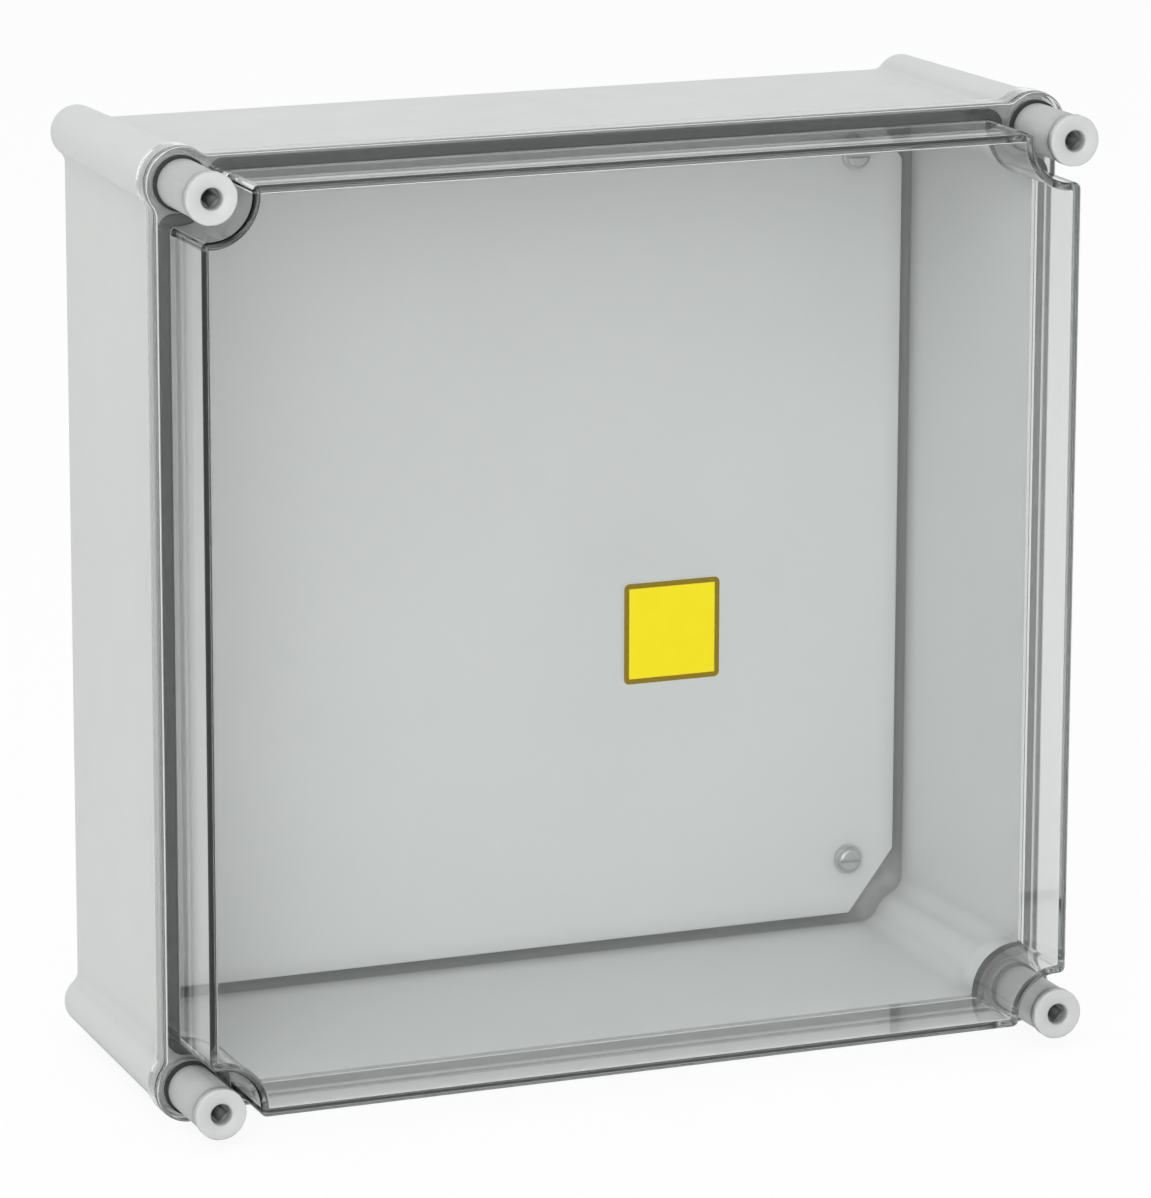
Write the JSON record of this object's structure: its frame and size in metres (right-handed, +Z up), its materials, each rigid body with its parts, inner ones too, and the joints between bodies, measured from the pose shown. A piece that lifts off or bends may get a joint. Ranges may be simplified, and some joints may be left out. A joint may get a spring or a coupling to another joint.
{
  "type": "electric meter box",
  "caption": "Square wall box for an electric meter: deep grey moulded base, clear tray-shaped lid held by long corner screws, mounting plate inside.",
  "frame": {"origin": "centre of the back face, in the plane of the wall", "axes": "+Y into the wall, -Y towards the clear lid, +Z up, +X to the right seen from the front"},
  "size_m": [0.3584, 0.1545, 0.3584],
  "materials": {
    "grey_moulding": "fine moulded texture",
    "clear_lid": "clear and glossy",
    "dark_rubber": "soft foam rubber",
    "grey_plate": "smooth sheet",
    "yellow_vinyl": "printed vinyl",
    "white_nylon": "moulded nylon",
    "spring_steel": "rolled",
    "brass": "turned",
    "zinc_steel": "zinc plated"
  },
  "bodies": {
    "base": {"base_shell": "grey_moulding", "mounting_plate": "grey_plate", "sealing_gasket": "dark_rubber", "lid_insert_top_left": "brass", "lid_insert_top_right": "brass", "lid_insert_bottom_left": "brass", "lid_insert_bottom_right": "brass", "wall_insert_top_left": "brass", "wall_insert_top_right": "brass", "wall_insert_bottom_left": "brass", "wall_insert_bottom_right": "brass", "plate_insert_top_left": "brass", "plate_insert_top_right": "brass", "plate_insert_bottom_left": "brass", "plate_insert_bottom_right": "brass", "plate_screw_top_left": "zinc_steel", "plate_screw_top_right": "zinc_steel", "plate_screw_bottom_left": "zinc_steel", "plate_screw_bottom_right": "zinc_steel", "plate_washer_top_left": "zinc_steel", "plate_washer_top_right": "zinc_steel", "plate_washer_bottom_left": "zinc_steel", "plate_washer_bottom_right": "zinc_steel"},
    "lid": {"lid_shell": "clear_lid", "yellow_sticker": "yellow_vinyl"},
    "seal_top_left": {"screw_seal_top_left": "dark_rubber"},
    "screw_top_left": {"lid_screw_top_left": "white_nylon", "screw_retainer_top_left": "spring_steel"},
    "seal_top_right": {"screw_seal_top_right": "dark_rubber"},
    "screw_top_right": {"lid_screw_top_right": "white_nylon", "screw_retainer_top_right": "spring_steel"},
    "seal_bottom_left": {"screw_seal_bottom_left": "dark_rubber"},
    "screw_bottom_left": {"lid_screw_bottom_left": "white_nylon", "screw_retainer_bottom_left": "spring_steel"},
    "seal_bottom_right": {"screw_seal_bottom_right": "dark_rubber"},
    "screw_bottom_right": {"lid_screw_bottom_right": "white_nylon", "screw_retainer_bottom_right": "spring_steel"}
  },
  "joints": [
    {"name": "lid_lift_off", "type": "slide", "parent": "base", "child": "lid", "axis": [0, -1, 0], "range_m": [0, 0.25]},
    {"name": "screw_draw_top_left", "type": "slide", "parent": "lid", "child": "seal_top_left", "axis": [0, -1, 0], "range_m": [0, 0.012]},
    {"name": "screw_turn_top_left", "type": "hinge", "parent": "seal_top_left", "child": "screw_top_left", "pos_m": [-0.166, -0.1195, 0.166], "axis": [0, -1, 0], "range_deg": [0, 1440]},
    {"name": "screw_draw_top_right", "type": "slide", "parent": "lid", "child": "seal_top_right", "axis": [0, -1, 0], "range_m": [0, 0.012]},
    {"name": "screw_turn_top_right", "type": "hinge", "parent": "seal_top_right", "child": "screw_top_right", "pos_m": [0.166, -0.1195, 0.166], "axis": [0, -1, 0], "range_deg": [0, 1440]},
    {"name": "screw_draw_bottom_left", "type": "slide", "parent": "lid", "child": "seal_bottom_left", "axis": [0, -1, 0], "range_m": [0, 0.012]},
    {"name": "screw_turn_bottom_left", "type": "hinge", "parent": "seal_bottom_left", "child": "screw_bottom_left", "pos_m": [-0.166, -0.1195, -0.166], "axis": [0, -1, 0], "range_deg": [0, 1440]},
    {"name": "screw_draw_bottom_right", "type": "slide", "parent": "lid", "child": "seal_bottom_right", "axis": [0, -1, 0], "range_m": [0, 0.012]},
    {"name": "screw_turn_bottom_right", "type": "hinge", "parent": "seal_bottom_right", "child": "screw_bottom_right", "pos_m": [0.166, -0.1195, -0.166], "axis": [0, -1, 0], "range_deg": [0, 1440]}
  ],
  "couplings": [
    {"joint": "screw_draw_top_left", "follows": "screw_turn_top_left", "m_per_rad": 0.00047746},
    {"joint": "screw_draw_top_right", "follows": "screw_turn_top_right", "m_per_rad": 0.00047746},
    {"joint": "screw_draw_bottom_left", "follows": "screw_turn_bottom_left", "m_per_rad": 0.00047746},
    {"joint": "screw_draw_bottom_right", "follows": "screw_turn_bottom_right", "m_per_rad": 0.00047746}
  ]
}
